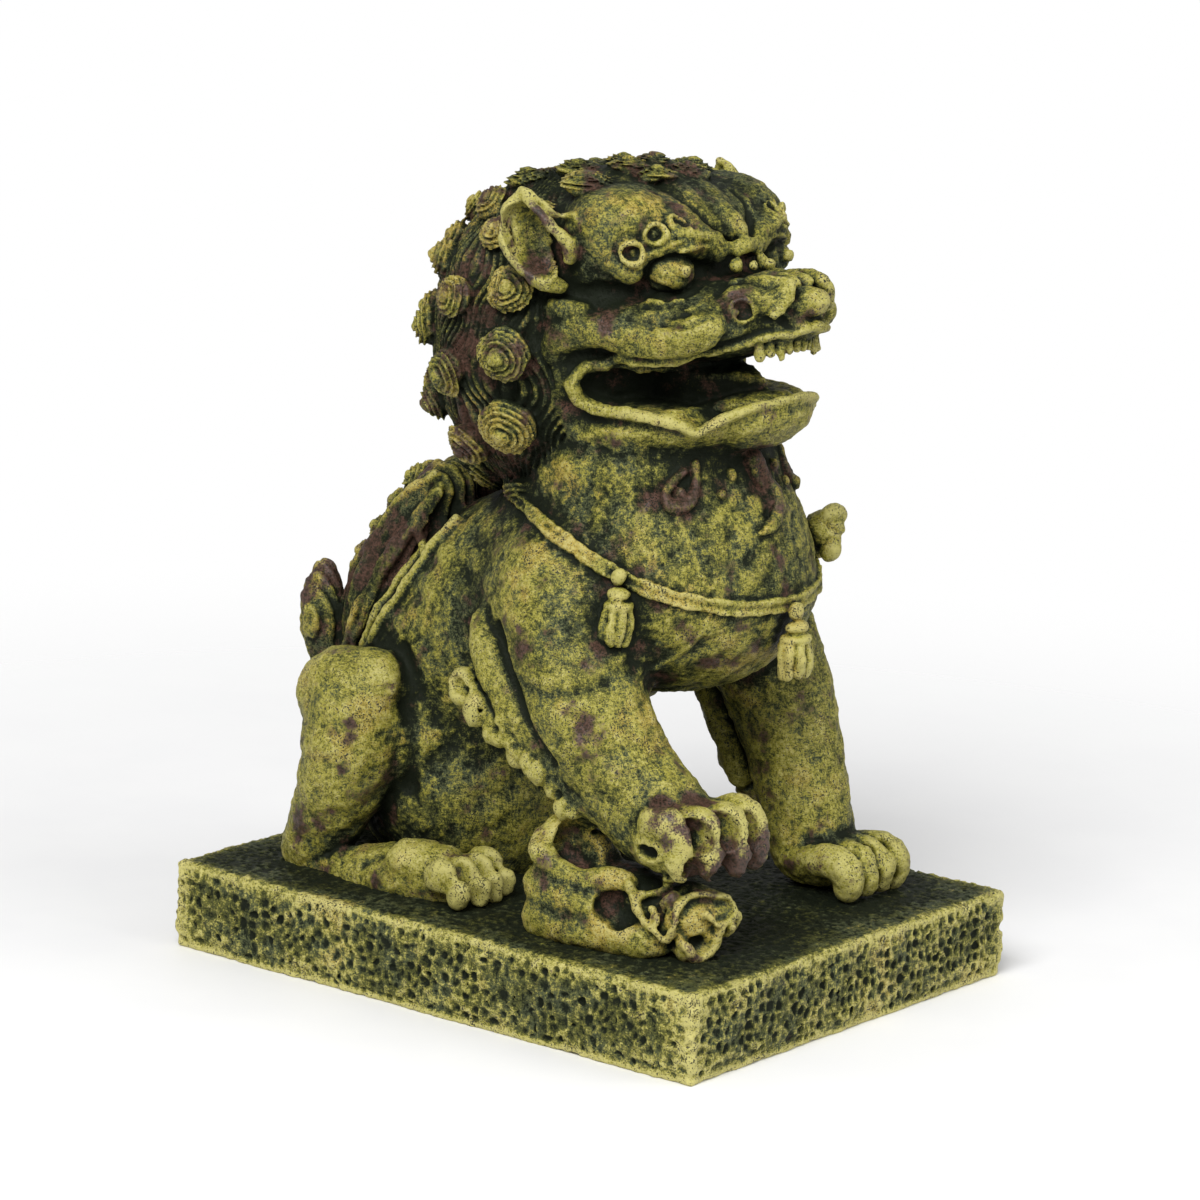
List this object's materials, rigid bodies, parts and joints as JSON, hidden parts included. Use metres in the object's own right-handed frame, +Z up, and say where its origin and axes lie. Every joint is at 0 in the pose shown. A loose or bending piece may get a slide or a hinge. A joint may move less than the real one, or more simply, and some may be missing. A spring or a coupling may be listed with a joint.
{
  "type": "foo dog statue",
  "caption": "Seated guardian lion figurine on a hammered plinth, its right forepaw on a cub, with a curled mane, open mouth and a tasselled ribbon.",
  "frame": {"origin": "centre of the underside of the plinth, on the surface that the figurine stands on", "axes": "+Z up; the lion faces -Y, so its right side and the cub are at -X and its left side is at +X"},
  "size_m": [0.088, 0.11, 0.1376],
  "materials": {
    "body_finish": "dark green-black wash under a dry-brushed yellow-green, satin",
    "mane_finish": "the same paint, darker between the curls, satin",
    "plinth_finish": "hammered surface, dark pits under dry-brushed yellow-green, worn cream edges",
    "ribbon_finish": "ochre dry brush over brown, satin",
    "eye_finish": "dark wash with a dry-brushed ball, satin",
    "cub_finish": "ochre dry brush over purple-brown, satin"
  },
  "bodies": {
    "root": {"plinth": "plinth_finish", "torso": "body_finish", "head": "body_finish", "lower_jaw": "body_finish", "upper_teeth": "body_finish", "nose": "body_finish", "brow_right": "body_finish", "brow_left": "body_finish", "eye_right": "eye_finish", "eye_left": "eye_finish", "forehead_plate": "body_finish", "ear_right": "body_finish", "ear_left": "body_finish", "mane": "mane_finish", "mane_curl_01": "mane_finish", "mane_curl_02": "mane_finish", "mane_curl_03": "mane_finish", "mane_curl_04": "mane_finish", "mane_curl_05": "mane_finish", "mane_curl_06": "mane_finish", "mane_curl_07": "mane_finish", "mane_curl_08": "mane_finish", "mane_curl_09": "mane_finish", "mane_curl_10": "mane_finish", "mane_curl_11": "mane_finish", "mane_curl_12": "mane_finish", "mane_curl_13": "mane_finish", "mane_curl_14": "mane_finish", "mane_curl_15": "mane_finish", "mane_curl_16": "mane_finish", "mane_curl_17": "mane_finish", "mane_curl_18": "mane_finish", "mane_curl_19": "mane_finish", "mane_curl_20": "mane_finish", "mane_curl_21": "mane_finish", "mane_curl_22": "mane_finish", "mane_curl_23": "mane_finish", "mane_curl_24": "mane_finish", "spine_ridge": "mane_finish", "back_locks_right": "mane_finish", "back_locks_left": "mane_finish", "tail": "mane_finish", "foreleg_right": "body_finish", "foreleg_left": "body_finish", "elbow_fringe_right": "body_finish", "elbow_fringe_left": "body_finish", "hind_leg_right": "body_finish", "hind_leg_left": "body_finish", "hind_paw_right": "body_finish", "hind_paw_left": "body_finish", "ribbon": "ribbon_finish", "tassel_right": "ribbon_finish", "tassel_centre": "ribbon_finish", "knot_left": "ribbon_finish", "beard_curl_right": "mane_finish", "beard_curl_left": "mane_finish", "beard_tuft": "mane_finish", "cub_head": "cub_finish", "cub_body": "cub_finish"}
  },
  "joints": []
}
